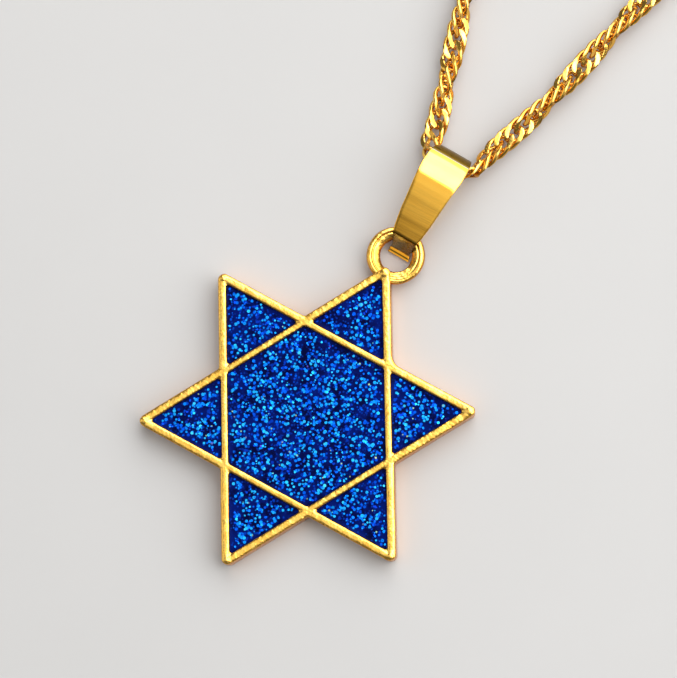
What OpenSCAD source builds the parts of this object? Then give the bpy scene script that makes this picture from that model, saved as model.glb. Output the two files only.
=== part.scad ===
// Six-pointed star pendant with enamel cells, on a folded bail and a twisted chain.
// It lies on its back: the star's back face is on the plane Z = 0, its centre is the
// origin, +Y points from the centre to the hanging loop, and +Z out of the enamel.

/* [Star] */
// Distance across two opposite points, over the metal
across_points = 30; // [24:0.5:40]
// Thickness from the back face to the top of the ridges
star_thick = 2; // [1.8:0.1:3]
// Thickness of the plate under the enamel
plate_thick = 1; // [0.6:0.1:1.4]
// Width of a ridge between two cells
ridge_w = 0.52; // [0.4:0.02:0.8]
// How far the rim stands out from the middle line of its ridge
rim_out = 0.44; // [0.36:0.02:0.7]
// Size of the slope along the top edges of a ridge
ridge_ease = 0.14; // [0.06:0.02:0.18]
// Size of the slope along the outer top edge of the rim
rim_ease = 0.26; // [0.1:0.02:0.34]

/* [Enamel] */
// How far the enamel lies below the top of the ridges
enamel_sink = 0.26; // [0.1:0.02:0.5]
// Gap between the enamel and the wall of its cell
enamel_gap = 0.02; // [0.01:0.01:0.05]

/* [Hanging loop] */
// Diameter of the hole in the loop
loop_hole_d = 3; // [2.9:0.1:4]
// Thickness of the loop's metal
loop_wire_d = 1.05; // [0.8:0.05:1.15]
// How far the loop's hole reaches into the star's tip
loop_bite = 0.1; // [0:0.05:0.3]
// Height of the middle of the loop above the back face
loop_z = 1; // [0.95:0.05:1.2]

/* [Bail] */
// Length of the bail, end to end
bail_length = 10.45; // [9:0.05:13]
// Thickness of the bail's strap
bail_strap = 0.36; // [0.3:0.02:0.4]
// Width of the strap at the fold that holds the chain
bail_top_w = 3.9; // [3:0.05:5]
// Width of the strap at its low end, in the loop
bail_low_w = 2.1; // [1.6:0.05:2.1]
// Height over the fold that holds the chain
bail_top_h = 3.8; // [3.6:0.1:5]
// Height of the crease where the front leg turns down into the loop
bail_crease_h = 2.35; // [2.2:0.05:2.5]
// Distance from the low end of the bail to that crease
bail_crease_y = 1.45; // [1.3:0.05:1.5]
// Outer radius of the bend at that crease
bail_crease_r = 0.5; // [0.42:0.02:0.7]
// Outer radius of the low fold
bail_low_r = 0.6; // [0.5:0.05:0.7]
// Distance from the middle of the loop's hole to the low end of the bail
bail_seat = 0.1; // [0.05:0.05:0.2]
// How far the low end of the bail lies to the right of the star's middle line
bail_x = 0.05; // [0:0.01:0.05]
// How far the bail is turned to the right about its low end, in degrees
bail_turn = 2.2; // [0:0.1:2.2]

/* [Chain] */
// Diameter of the space that the twisted chain takes
chain_d = 2.1; // [1.5:0.1:2.4]
// Thickness of the chain where it passes edge-on through the bail
chain_neck_d = 1.1; // [0.8:0.1:1.3]
// Clearance between the chain and the bail's upper fold
chain_gap = 0.25; // [0.2:0.05:0.6]
// How far the chain lies below the middle of the fold
chain_sag = 0.15; // [0.05:0.05:0.2]

/* [Clasp] */
// Length of the clasp's barrel
clasp_length = 8; // [6:0.5:12]
// Diameter of the clasp's barrel
clasp_d = 2.4; // [2:0.1:3.2]
// Diameter of the wire of the clasp's eyes
eye_wire_d = 0.56; // [0.4:0.02:0.6]
// Diameter of the middle line of an eye
eye_d = 1.5; // [1.4:0.1:2]
// Diameter of the wire of the chain's end rings
end_ring_wire_d = 0.5; // [0.4:0.02:0.56]
// Diameter of the middle line of an end ring
end_ring_d = 1.8; // [1.6:0.1:2.4]
// Gap between an end ring and the chain
end_gap = 0.1; // [0.05:0.05:0.2]

/* [Hidden] */
round_fn = 96;
bend_step = 7.5;     // degrees between the points of a bend in the bail
spare = 1;           // how far a cutting solid runs past what it cuts
wide = 3 * across_points;   // size of a block before its sides are cut
points = 6;
turn = 360 / points;

// Star: the middle lines of the ridges are two crossed triangles
tip_r = across_points / 2 - rim_out;
line_r = tip_r / 2;                      // distance of each line from the centre
point_middle_r = line_r + tip_r / 6;     // distance of a point's middle from the centre
hexagon_in_r = line_r - ridge_w / 2;
point_in_r = tip_r / 6 - ridge_w / 2;
enamel_top = star_thick - enamel_sink;

// Loop and bail
loop_y = across_points / 2 + loop_hole_d / 2 - loop_bite;
loop_mid_r = (loop_hole_d + loop_wire_d) / 2;
bail_y = loop_y + bail_seat;
bail_top_r = bail_top_h / 2;
fold_back = bail_length - bail_top_r;    // from the bail's low end to the middle of the fold

// Chain: through the bail's upper fold, then round the neck and back. The route's
// points are measured from the middle of the chain inside the fold. Away from the
// bail the chain lies on the plane Z = 0.
tunnel_out = fold_back + bail_top_r - bail_strap - chain_gap - chain_neck_d / 2;
tunnel_x = bail_x + tunnel_out * sin(bail_turn);
tunnel_y = bail_y + tunnel_out * cos(bail_turn);
tunnel_z = bail_top_r - chain_sag;
route_left = [[-20, 175.5], [-33, 169], [-44.5, 158], [-53, 144], [-56.5, 127.5], [-56, 111],
              [-51, 94.5], [-43, 79], [-33.2, 64.2], [-23.8, 50.6], [-16.4, 38], [-11.2, 28.5],
              [-8.1, 20], [-6.35, 14.5], [-4.85, 9.5], [-3.5, 4.9], [-2.9, 2.9], [-2.7, 1.8]];
route_bail = [[-2.85, 0.95, -0.4], [-2.45, 0, -0.1], [-1.2, -0.05, 0], [0, 0, 0],
              [1.2, -0.05, 0], [2.5, 0, -0.1], [2.8, 0.95, -0.4]];
route_right = [[2.5, 1.9], [2.75, 3.1], [4.2, 6.7], [5.6, 11.5], [6.9, 17], [8.7, 23.5],
               [12.2, 31.5], [18.2, 42], [26.8, 54.7], [36.9, 68.8], [46, 83.5], [53, 98.5],
               [56.5, 115], [55.5, 131.5], [51, 147], [42, 161], [30.5, 170.8], [18, 176.5]];
far_y = 177.5;
narrow_spans = 4;    // spans on each side of the fold over which the chain is edge-on
widen_spans = 3;     // spans after them over which it comes to its full width
tube_sides = 12;

// Clasp: closes the chain at the far end of the route
clasp_y = tunnel_y + far_y;
clasp_z = clasp_d / 2;
eye_sink = eye_wire_d / 4;               // how far an eye is sunk in the end of the barrel
eye_x = clasp_length / 2 + eye_d / 2 - eye_sink;
end_ring_x = eye_x + end_ring_d / 2;
chain_end_x = end_ring_x + (end_ring_d + end_ring_wire_d) / 2 + end_gap;
route = concat(
    [[-chain_end_x, clasp_y, chain_d / 2]],
    [for (p = route_left) [tunnel_x + p[0], tunnel_y + p[1], chain_d / 2]],
    [for (p = route_bail) [tunnel_x + p[0], tunnel_y + p[1], tunnel_z + p[2]]],
    [for (p = route_right) [tunnel_x + p[0], tunnel_y + p[1], chain_d / 2]],
    [[chain_end_x, clasp_y, chain_d / 2]]);
tunnel_place = 1 + len(route_left) + (len(route_bail) - 1) / 2;   // of the fold's middle

// A block with n equal sides round the Z axis, one of them facing -Y. The profile is
// its section from the middle out to a side: X is the distance out and Y the height.
module sided_block(n, profile) {
    intersection_for (k = [0 : n - 1])
        rotate([0, 0, 360 * k / n - 90])
            rotate([90, 0, 0])
                linear_extrude(wide, center = true)
                    polygon(profile);
}

// A full triangle of the star, with the rim's slope along its top edges
module star_triangle() {
    side = line_r + rim_out;
    sided_block(3, [[-wide, 0], [side, 0], [side, star_thick - rim_ease],
                    [side - rim_ease, star_thick], [-wide, star_thick]]);
}

// The opening of a cell, from the plate up, with a slope along its top edges
module cell_opening(n, in_r) {
    sided_block(n, [[-wide, plate_thick], [in_r, plate_thick], [in_r, star_thick - ridge_ease],
                    [in_r + ridge_ease, star_thick], [in_r + ridge_ease, star_thick + spare],
                    [-wide, star_thick + spare]]);
}

// Places a child at the middle of star point k, its corner pointing out
module at_point(k) {
    rotate([0, 0, turn * k])
        translate([0, point_middle_r, 0])
            children();
}

module ring(mid_d, wire_d) {
    rotate_extrude($fn = round_fn)
        translate([mid_d / 2, 0])
            circle(d = wire_d, $fn = round_fn);
}

// The casting: plate, ridges, rim and hanging loop in one piece
module star_frame() {
    color("gold")
        difference() {
            union() {
                intersection() {
                    union() {
                        star_triangle();
                        rotate([0, 0, 180])
                            star_triangle();
                    }
                    cylinder(d = across_points, h = star_thick, $fn = round_fn);
                }
                translate([0, loop_y, loop_z])
                    ring(2 * loop_mid_r, loop_wire_d);
            }
            cell_opening(points, hexagon_in_r);
            for (k = [0 : points - 1])
                at_point(k)
                    cell_opening(3, point_in_r);
        }
}

// The fill of one cell with n sides
module enamel(n, in_r) {
    side = in_r - enamel_gap;
    color("navy")
        sided_block(n, [[-wide, plate_thick], [side, plate_thick],
                        [side, enamel_top], [-wide, enamel_top]]);
}

module enamel_hexagon() {
    enamel(points, hexagon_in_r);
}

module enamel_point(k) {
    at_point(k)
        enamel(3, point_in_r);
}

// The angle at which a straight side leaves circle a for circle b, on the left of the way
// from a to b. A circle is given as [x, y, radius].
function side_angle(a, b) =
    atan2(b[1] - a[1], b[0] - a[0]) + acos((a[2] - b[2]) / norm([b[0] - a[0], b[1] - a[1]]));

// The round at circle c between the side that comes from circle a and the side that
// goes on to circle b
function bend_round(a, c, b) =
    let (start = side_angle(a, c), bend = (start - side_angle(c, b) + 720) % 360,
         steps = ceil(bend / bend_step))
    [for (k = [0 : steps])
        [c[0] + c[2] * cos(start - bend * k / steps), c[1] + c[2] * sin(start - bend * k / steps)]];

// Side view of the bail less an inset all round: the low fold, the crease and the upper
// fold, with straight legs between. X runs along the bail and Y is the height.
module bail_side(inset) {
    low = [bail_low_r, bail_low_r, bail_low_r - inset];
    crease = [bail_crease_y, bail_crease_h - bail_crease_r, bail_crease_r - inset];
    top = [fold_back, bail_top_r, bail_top_r - inset];
    polygon(concat(bend_round(top, low, crease), bend_round(low, crease, top),
                   bend_round(crease, top, low)));
}

// The folded strap: its side view cut to the strap's taper
module bail() {
    color("goldenrod")
        translate([bail_x, bail_y, 0])
            rotate([0, 0, -bail_turn])
                intersection() {
                    rotate([90, 0, 90])
                        translate([0, 0, -bail_top_w])
                            linear_extrude(2 * bail_top_w)
                                difference() {
                                    bail_side(0);
                                    bail_side(bail_strap);
                                }
                    translate([0, 0, -spare])
                        linear_extrude(bail_top_h + 2 * spare)
                            polygon([[-bail_low_w / 2, 0], [bail_low_w / 2, 0],
                                     [bail_top_w / 2, bail_length], [-bail_top_w / 2, bail_length]]);
                }
}

// One point of a uniform cubic B-spline span, t from 0 to 1
function spline(p0, p1, p2, p3, t) =
    (pow(1 - t, 3) * p0 + (3 * pow(t, 3) - 6 * pow(t, 2) + 4) * p1
     + (-3 * pow(t, 3) + 3 * pow(t, 2) + 3 * t + 1) * p2 + pow(t, 3) * p3) / 6;

// The route with an extra point past each end, so that the line starts and ends on it
function run_out(p) = concat([2 * p[0] - p[1]], p, [2 * p[len(p) - 1] - p[len(p) - 2]]);

// Width of the chain at a place along the route: edge-on in the bail, full beyond it
function chain_width(place) =
    let (share = min(1, max(0, (abs(place - tunnel_place) - narrow_spans) / widen_spans)))
    chain_neck_d + (chain_d - chain_neck_d) * share * share * (3 - 2 * share);

// The places along the route that get a ring of the tube: one to a span beside the
// bail, where spans are short, and two elsewhere
ring_places = concat(
    [for (k = [0 : len(route) - 2])
        for (t = abs(k - tunnel_place) <= narrow_spans + widen_spans ? [0] : [0, 0.5])
            k + t],
    [len(route) - 1]);

// The space that the chain's links take, as a tube along the route
module chain() {
    p = run_out(route);
    line = [for (place = ring_places)
        let (k = min(floor(place), len(route) - 2))
        spline(p[k], p[k + 1], p[k + 2], p[k + 3], place - k)];
    last = len(line) - 1;
    rings = [for (k = [0 : last])
        let (way = line[min(last, k + 1)] - line[max(0, k - 1)],
             ahead = way / norm(way),
             flat = cross([0, 0, 1], ahead),
             side = flat / norm(flat),
             up = cross(ahead, side),
             r = chain_width(ring_places[k]) / 2)
        [for (n = [0 : tube_sides - 1])
            line[k] + r * (cos(360 * n / tube_sides) * side + sin(360 * n / tube_sides) * up)]];
    m = tube_sides;
    color("gold")
        polyhedron(
            points = [for (r = rings) each r],
            faces = concat(
                [[for (n = [0 : m - 1]) n]],
                [for (k = [0 : last - 1]) for (n = [0 : m - 1])
                    let (next = (n + 1) % m)
                    each [[k * m + next, k * m + n, (k + 1) * m + n],
                          [k * m + next, (k + 1) * m + n, (k + 1) * m + next]]],
                [[for (n = [m - 1 : -1 : 0]) last * m + n]]));
}

// A closed barrel with an eye at each end
module clasp() {
    color("gold")
        translate([0, clasp_y, clasp_z]) {
            rotate([0, 90, 0])
                cylinder(d = clasp_d, h = clasp_length, center = true, $fn = round_fn);
            for (s = [-1, 1])
                translate([s * eye_x, 0, 0])
                    rotate([90, 0, 0])
                        ring(eye_d, eye_wire_d);
        }
}

// The ring that ties one end of the chain to an eye: s is -1 on the left, 1 on the right
module end_ring(s) {
    color("gold")
        translate([s * end_ring_x, clasp_y, clasp_z])
            ring(end_ring_d, end_ring_wire_d);
}

star_frame();
enamel_hexagon();
enamel_point(0);  // enamel_point_1
enamel_point(1);  // enamel_point_2
enamel_point(2);  // enamel_point_3
enamel_point(3);  // enamel_point_4
enamel_point(4);  // enamel_point_5
enamel_point(5);  // enamel_point_6
bail();
chain();
clasp();
end_ring(-1);  // end_ring_left
end_ring(1);  // end_ring_right
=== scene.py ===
"""Looks of the six-pointed star pendant on its chain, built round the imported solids.

Lengths in the classes are in millimetres and are turned into metres when a mesh is made.
"""
import logging
import math
from dataclasses import dataclass, field
from enum import Enum
from functools import reduce

import bmesh
import bpy
import numpy as np
from mathutils import Matrix, Vector


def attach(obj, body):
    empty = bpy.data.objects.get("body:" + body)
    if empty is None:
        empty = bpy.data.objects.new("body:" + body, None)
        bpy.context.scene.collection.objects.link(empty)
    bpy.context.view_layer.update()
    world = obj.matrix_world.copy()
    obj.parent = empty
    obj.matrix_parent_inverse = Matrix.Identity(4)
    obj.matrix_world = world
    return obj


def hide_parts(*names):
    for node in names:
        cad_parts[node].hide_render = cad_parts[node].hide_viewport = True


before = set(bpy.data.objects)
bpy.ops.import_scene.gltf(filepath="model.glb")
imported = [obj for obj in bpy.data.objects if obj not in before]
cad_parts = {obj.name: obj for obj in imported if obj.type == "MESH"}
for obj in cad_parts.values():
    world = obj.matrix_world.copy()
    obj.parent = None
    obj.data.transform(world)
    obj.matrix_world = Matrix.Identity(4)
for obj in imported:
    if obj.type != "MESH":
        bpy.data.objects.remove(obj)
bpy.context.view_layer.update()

log = logging.getLogger("star_pendant")
MM = 0.001
BODY = "root"
TAU = 2 * math.pi
WAVES = 8                         # sine waves in the small random heights
# Ranges of soft noise that are spread over a whole mix, from the hardest change to the softest
CLOSE, MEDIUM, WIDE = (0.35, 0.65), (0.3, 0.7), (0.25, 0.75)


# Surfaces and pieces


@dataclass
class Surface:
    """Points in millimetres and the faces between them, with a tone number for each face."""

    points: np.ndarray
    faces: list
    tones: np.ndarray | None = None
    slots: np.ndarray | None = None

    def joined(self, other: "Surface") -> "Surface":
        """Puts another surface's points and faces after this one's.

        Args:
            other: the other surface.

        Returns:
            Both as a single surface.
        """
        step = len(self.points)
        moved = [[i + step for i in f] for f in other.faces]
        return Surface(np.vstack([self.points, other.points]), self.faces + moved)


def grid_faces(rows: int, cols: int, close_rows: bool = False, close_cols: bool = True) -> np.ndarray:
    """The quads of a grid of points.

    Formula: point (r, c) is number r * cols + c, and each quad goes round one cell.

    Args:
        rows: how many rings or sections the grid has.
        cols: how many points each of them has.
        close_rows: whether the last row meets the first.
        close_cols: whether the last column meets the first.

    Returns:
        An array of four point numbers for each quad.
    """
    r = np.arange(rows if close_rows else rows - 1)[:, None]
    c = np.arange(cols if close_cols else cols - 1)[None, :]
    r1, c1 = (r + 1) % rows, (c + 1) % cols
    corners = [r * cols + c, r * cols + c1, r1 * cols + c1, r1 * cols + c]
    return np.stack([np.broadcast_to(k, np.broadcast(r, c).shape) for k in corners], -1).reshape(-1, 4)


def disc_faces(first: int, cols: int, centre: int, turned: bool = False) -> list:
    """The triangles between a ring of points and its centre point.

    Args:
        first: number of the ring's first point.
        cols: how many points the ring has.
        centre: number of the centre point.
        turned: whether the triangles go the other way round.

    Returns:
        A list of point numbers for each triangle.
    """
    a = first + np.arange(cols)
    b = first + (np.arange(cols) + 1) % cols
    mid = np.full(cols, centre)
    return np.stack([b, a, mid] if turned else [a, b, mid], -1).tolist()


def ring_stack(rings: np.ndarray, low_pole: bool = True, high_pole: bool = True) -> Surface:
    """A closed surface through a stack of rings, with a point in the middle of each end.

    Args:
        rings: array of rows x columns x 3 of points.
        low_pole: whether the first ring is closed by a point at its mean.
        high_pole: whether the last ring is closed by a point at its mean.

    Returns:
        The surface.
    """
    rows, cols = rings.shape[:2]
    points = rings.reshape(-1, 3)
    faces = grid_faces(rows, cols).tolist()
    if low_pole:
        points = np.vstack([points, rings[0].mean(0)])
        faces += disc_faces(0, cols, len(points) - 1, turned=True)
    if high_pole:
        points = np.vstack([points, rings[-1].mean(0)])
        faces += disc_faces((rows - 1) * cols, cols, len(points) - 1)
    return Surface(points, faces)


def rays(angle: np.ndarray) -> np.ndarray:
    """Unit directions at angles in radians: their cosines and sines."""
    return np.stack([np.cos(angle), np.sin(angle)], -1)


def smooth_step(x: np.ndarray) -> np.ndarray:
    """A soft ramp from 0 to 1: three x squared less two x cubed, held outside 0 to 1."""
    x = np.clip(x, 0.0, 1.0)
    return x * x * (3 - 2 * x)


def spline(points: np.ndarray, at: np.ndarray) -> np.ndarray:
    """Points on a uniform cubic B-spline.

    Formula: each span is the usual blend of four neighbours, by cubes of the share along it.

    Args:
        points: the control points, with one more than the line needs past each end.
        at: places along the line, one for each span.

    Returns:
        An array of one point for each place.
    """
    k = np.minimum(at.astype(int), len(points) - 4)
    u = (at - k)[:, None]
    blend = ((1 - u) ** 3, 3 * u ** 3 - 6 * u ** 2 + 4, -3 * u ** 3 + 3 * u ** 2 + 3 * u + 1, u ** 3)
    return sum(share * points[k + n] for n, share in enumerate(blend)) / 6


def unevenness(xy: np.ndarray, waves: tuple, seed: int) -> np.ndarray:
    """A small smooth random height over the plane.

    Formula: twice the mean of sine waves with random directions, phases and lengths.

    Args:
        xy: points, the last axis being x and y in millimetres.
        waves: the shortest and longest wave in millimetres.
        seed: number that fixes the random waves.

    Returns:
        Heights of about -1 to 1.
    """
    rng = np.random.default_rng(seed)
    total = np.zeros(xy.shape[:-1])
    for _ in range(WAVES):
        way, phase, length = rng.uniform(0, TAU), rng.uniform(0, TAU), rng.uniform(*waves)
        total += np.sin(TAU * (xy[..., 0] * math.cos(way) + xy[..., 1] * math.sin(way)) / length + phase)
    return total / (WAVES / 2)


def running_mean(values: np.ndarray, reach: int) -> np.ndarray:
    """Smooths a row of values.

    Formula: each value becomes the mean of itself and its neighbours, and the end values
    are taken to go on past both ends.

    Args:
        values: the row.
        reach: how many neighbours on each side count.

    Returns:
        The smoothed row, as long as the first.
    """
    window = 2 * reach + 1
    return np.convolve(np.pad(values, reach, "edge"), np.ones(window) / window, "valid")


def paint_flank_shade(mesh: bpy.types.Mesh, flat: float, steep: float) -> None:
    """Gives each face a tone number of painted shade: 0 where it looks up and 1 on its flanks and below.

    Formula: a soft ramp of the upward part of the face's normal.

    Args:
        mesh: the mesh.
        flat: upward part at which the tone starts to rise.
        steep: upward part at which it is full.
    """
    normals = np.empty(len(mesh.polygons) * 3, np.float32)
    mesh.polygons.foreach_get("normal", normals)
    tone = mesh.attributes.new("tone", "FLOAT", "FACE")
    tone.data.foreach_set("value", smooth_step((flat - normals[2::3]) / (flat - steep)).astype(np.float32))


def make_piece(name: str, surface: Surface, finishes: list, stands_for: list,
               sharp: float = 40.0, weld: float = 0.0004, flanks: tuple | None = None) -> bpy.types.Object:
    """Makes a surface a Blender piece that rides on the part.

    Args:
        name: the piece's name.
        surface: its points in millimetres and its faces.
        finishes: its materials, in the order of their numbers in the surface.
        stands_for: the solids that it is shown for.
        sharp: angle in degrees between faces above which their edge is drawn sharp.
        weld: distance in millimetres below which points become one.
        flanks: upward shares of a face's normal at which its painted shade starts and is full.

    Returns:
        The new object.
    """
    mesh = bpy.data.meshes.new(name)
    mesh.from_pydata((surface.points * MM).tolist(), [], surface.faces)
    if surface.tones is not None:
        tone = mesh.attributes.new("tone", "FLOAT", "FACE")
        tone.data.foreach_set("value", surface.tones.astype(np.float32))
    if surface.slots is not None:
        mesh.polygons.foreach_set("material_index", surface.slots.astype(np.int32))
    if weld:
        work = bmesh.new()
        work.from_mesh(mesh)
        bmesh.ops.remove_doubles(work, verts=work.verts, dist=weld * MM)
        bmesh.ops.recalc_face_normals(work, faces=work.faces)
        work.to_mesh(mesh)
        work.free()
    mesh.polygons.foreach_set("use_smooth", np.ones(len(mesh.polygons), bool))
    mesh.set_sharp_from_angle(angle=math.radians(sharp))
    # painted shade on the steep faces, as a tone number
    if flanks:
        paint_flank_shade(mesh, *flanks)
    for finish in finishes:
        mesh.materials.append(finish)
    mesh.update()
    piece = bpy.data.objects.new(name, mesh)
    bpy.context.scene.collection.objects.link(piece)
    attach(piece, BODY)
    if stands_for:
        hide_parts(*stands_for)
    log.info("%s: %d faces", name, len(mesh.polygons))
    return piece


# Materials


class Value:
    """A shader socket that takes part in sums, so that 1 - mask adds its Math node."""

    def __init__(self, shader: "Shader", socket: bpy.types.NodeSocket) -> None:
        """Keeps the shader that the socket belongs to."""
        self.shader = shader
        self.socket = socket

    def _sum(self, operation: str, first: object, second: object) -> "Value":
        """One Math node on two sockets or numbers."""
        node = self.shader.node("ShaderNodeMath", {"operation": operation}, {0: first, 1: second})
        return Value(self.shader, node.outputs[0])

    def __add__(self, other: object) -> "Value":
        """This plus the other."""
        return self._sum("ADD", self, other)

    def __radd__(self, other: object) -> "Value":
        """The other plus this."""
        return self._sum("ADD", other, self)

    def __sub__(self, other: object) -> "Value":
        """This less the other."""
        return self._sum("SUBTRACT", self, other)

    def __rsub__(self, other: object) -> "Value":
        """The other less this."""
        return self._sum("SUBTRACT", other, self)

    def __mul__(self, other: object) -> "Value":
        """This times the other."""
        return self._sum("MULTIPLY", self, other)

    def __rmul__(self, other: object) -> "Value":
        """The other times this."""
        return self._sum("MULTIPLY", other, self)

    def blend(self, other: "Value", share: float) -> "Value":
        """A share of this, and the rest of the other."""
        return self * share + other * (1 - share)

    def ramp(self, low: float, high: float, to_low: float = 0.0, to_high: float = 1.0) -> "Value":
        """This mapped from one range to another, softly and held at both ends.

        Args:
            low: where the first range starts.
            high: where it ends.
            to_low: where the second range starts.
            to_high: where it ends.

        Returns:
            The mapped value.
        """
        node = self.shader.node("ShaderNodeMapRange", {"interpolation_type": "SMOOTHSTEP"},
                                {0: self, 1: low, 2: high, 3: to_low, 4: to_high})
        return Value(self.shader, node.outputs[0])


class Shader:
    """A material with one Principled shader, and the methods that add nodes to it."""

    layer_strength = 0.55         # strength of each finer layer of noise, as a share of the last

    def __init__(self, name: str) -> None:
        """Starts an empty material.

        Args:
            name: the material's name.
        """
        self.material = bpy.data.materials.new(name)
        self.material.use_nodes = True
        self.tree = self.material.node_tree
        self.tree.nodes.clear()
        self.output = self.node("ShaderNodeOutputMaterial", {}, {})
        self.surface = self.node("ShaderNodeBsdfPrincipled", {}, {})
        self.tree.links.new(self.surface.outputs[0], self.output.inputs[0])

    def node(self, kind: str, settings: dict, inputs: dict) -> bpy.types.Node:
        """Adds a node.

        Args:
            kind: the node's type.
            settings: its own properties, which are set first.
            inputs: values or links by socket name or number.

        Returns:
            The new node.
        """
        node = self.tree.nodes.new(kind)
        for key, value in settings.items():
            setattr(node, key, value)
        for key, value in inputs.items():
            self.feed(node, key, value)
        return node

    def feed(self, node: bpy.types.Node, key: object, value: object) -> None:
        """Sets one socket of a node to a number or colour, or links it.

        Args:
            node: the node.
            key: the socket's name or number.
            value: a number, a colour, a socket or a Value.
        """
        socket = node.inputs[key]
        if isinstance(value, Value):
            value = value.socket
        if isinstance(value, bpy.types.NodeSocket):
            self.tree.links.new(value, socket)
        elif isinstance(value, tuple) and len(value) == 3 and socket.type == "RGBA":
            socket.default_value = (*value, 1.0)
        else:
            socket.default_value = value

    def value(self, node: bpy.types.Node, output: object = 0) -> Value:
        """One output of a node as a Value."""
        return Value(self, node.outputs[output])

    def tone(self) -> Value:
        """The tone number of the face."""
        return self.value(self.node("ShaderNodeAttribute", {"attribute_name": "tone"}, {}), "Fac")

    def place(self, scale: tuple = (1.0, 1.0, 1.0)) -> bpy.types.NodeSocket:
        """The point on the piece in metres.

        Args:
            scale: how much each axis is stretched.

        Returns:
            The point's socket.
        """
        where = self.node("ShaderNodeTexCoord", {}, {}).outputs["Object"]
        if scale == (1.0, 1.0, 1.0):
            return where
        return self.node("ShaderNodeMapping", {}, {"Vector": where, "Scale": scale}).outputs[0]

    def noise(self, per_mm: float, detail: float = 3.0, stretch: tuple = (1.0, 1.0, 1.0)) -> Value:
        """Soft noise of about 0 to 1.

        Args:
            per_mm: how many lumps it has in a millimetre.
            detail: how many finer layers lie on it.
            stretch: scale of each axis before the noise.

        Returns:
            The noise.
        """
        node = self.node("ShaderNodeTexNoise", {"noise_dimensions": "3D"},
                         {"Vector": self.place(stretch), "Scale": per_mm / MM, "Detail": detail,
                          "Roughness": self.layer_strength})
        return self.value(node)

    def mix(self, share: object, low: object, high: object) -> bpy.types.NodeSocket:
        """A colour between two others.

        Args:
            share: 0 for the low colour and 1 for the high one.
            low: a colour or a socket.
            high: a colour or a socket.

        Returns:
            The mixed colour's socket.
        """
        # A Mix node's colours go in at sockets 6 and 7, and the mixed one comes out at 2
        node = self.node("ShaderNodeMix", {"data_type": "RGBA", "clamp_factor": True}, {})
        self.feed(node, 0, share)
        self.feed(node, 6, low)
        self.feed(node, 7, high)
        return node.outputs[2]

    def stops(self, at: Value, colours: tuple) -> bpy.types.NodeSocket:
        """A colour picked by a number.

        Args:
            at: the number, 0 to 1.
            colours: pairs of a number and its colour, in rising order.

        Returns:
            The colour's socket.
        """
        node = self.node("ShaderNodeValToRGB", {}, {0: at})
        elements = node.color_ramp.elements
        while len(elements) < len(colours):
            elements.new(0.5)
        for element, (place, colour) in zip(elements, colours):
            element.position = place
            element.color = (*colour, 1.0)
        return node.outputs[0]

    def bump(self, height: Value, strength: float, depth_mm: float) -> bpy.types.NodeSocket:
        """The normal of a surface that a height lifts.

        Args:
            height: the height, from 0 to 1.
            strength: how much of the lift counts.
            depth_mm: how far it lifts the surface at 1.

        Returns:
            The normal's socket.
        """
        node = self.node("ShaderNodeBump", {}, {"Strength": strength, "Distance": depth_mm * MM,
                                                "Height": height})
        return node.outputs[0]

    def finish(self, **sockets: object) -> bpy.types.Material:
        """Feeds the Principled shader's sockets and gives the material.

        Args:
            sockets: values or links, each under its socket's name with underscores for blanks.

        Returns:
            The material.
        """
        for key, value in sockets.items():
            self.feed(self.surface, key.replace("_", " "), value)
        return self.material


@dataclass(frozen=True)
class CastGold:
    """Bright gold plating over a casting: satin, with faint lumps and fine pits, and painted shade in a
    deeper orange on its steep faces.
    """

    light: tuple = (1.0, 0.62, 0.125)
    deep: tuple = (0.98, 0.55, 0.085)
    # painted shade: the deeper orange given to steep faces and undersides, by their tone number
    flank_shade: tuple = (0.66, 0.27, 0.025)
    smooth: float = 0.20
    rough: float = 0.32
    relief: tuple = (0.6, 0.11)   # strength of the lumps and pits, and their depth in millimetres
    # Each noise: how many to a millimetre, and finer layers on it
    patches: tuple = (0.9, 2.0)
    grain: tuple = (9.0, 3.0)
    lumps: tuple = (2.2, 1.0)
    patchy: float = 0.5           # share of the patches in the roughness, and the rest is grain
    lumpy: float = 0.88           # share of the lumps in the relief, and the rest is grain

    def material(self) -> bpy.types.Material:
        """Makes the material.

        Returns:
            The finished material.
        """
        s = Shader("cast_gold")
        patches = s.noise(*self.patches)
        grain = s.noise(*self.grain)
        lumps = s.noise(*self.lumps)
        # tone number of painted shade: 0 on faces that look up, 1 on steep faces
        side = s.tone()
        tone = s.mix(side, s.mix(patches.ramp(*MEDIUM), self.deep, self.light), self.flank_shade)
        height = lumps.blend(grain, self.lumpy)
        shine = patches.blend(grain, self.patchy)
        return s.finish(Base_Color=tone, Metallic=1.0, Roughness=shine.ramp(*WIDE, self.smooth, self.rough),
                        Normal=s.bump(height, *self.relief))


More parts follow.
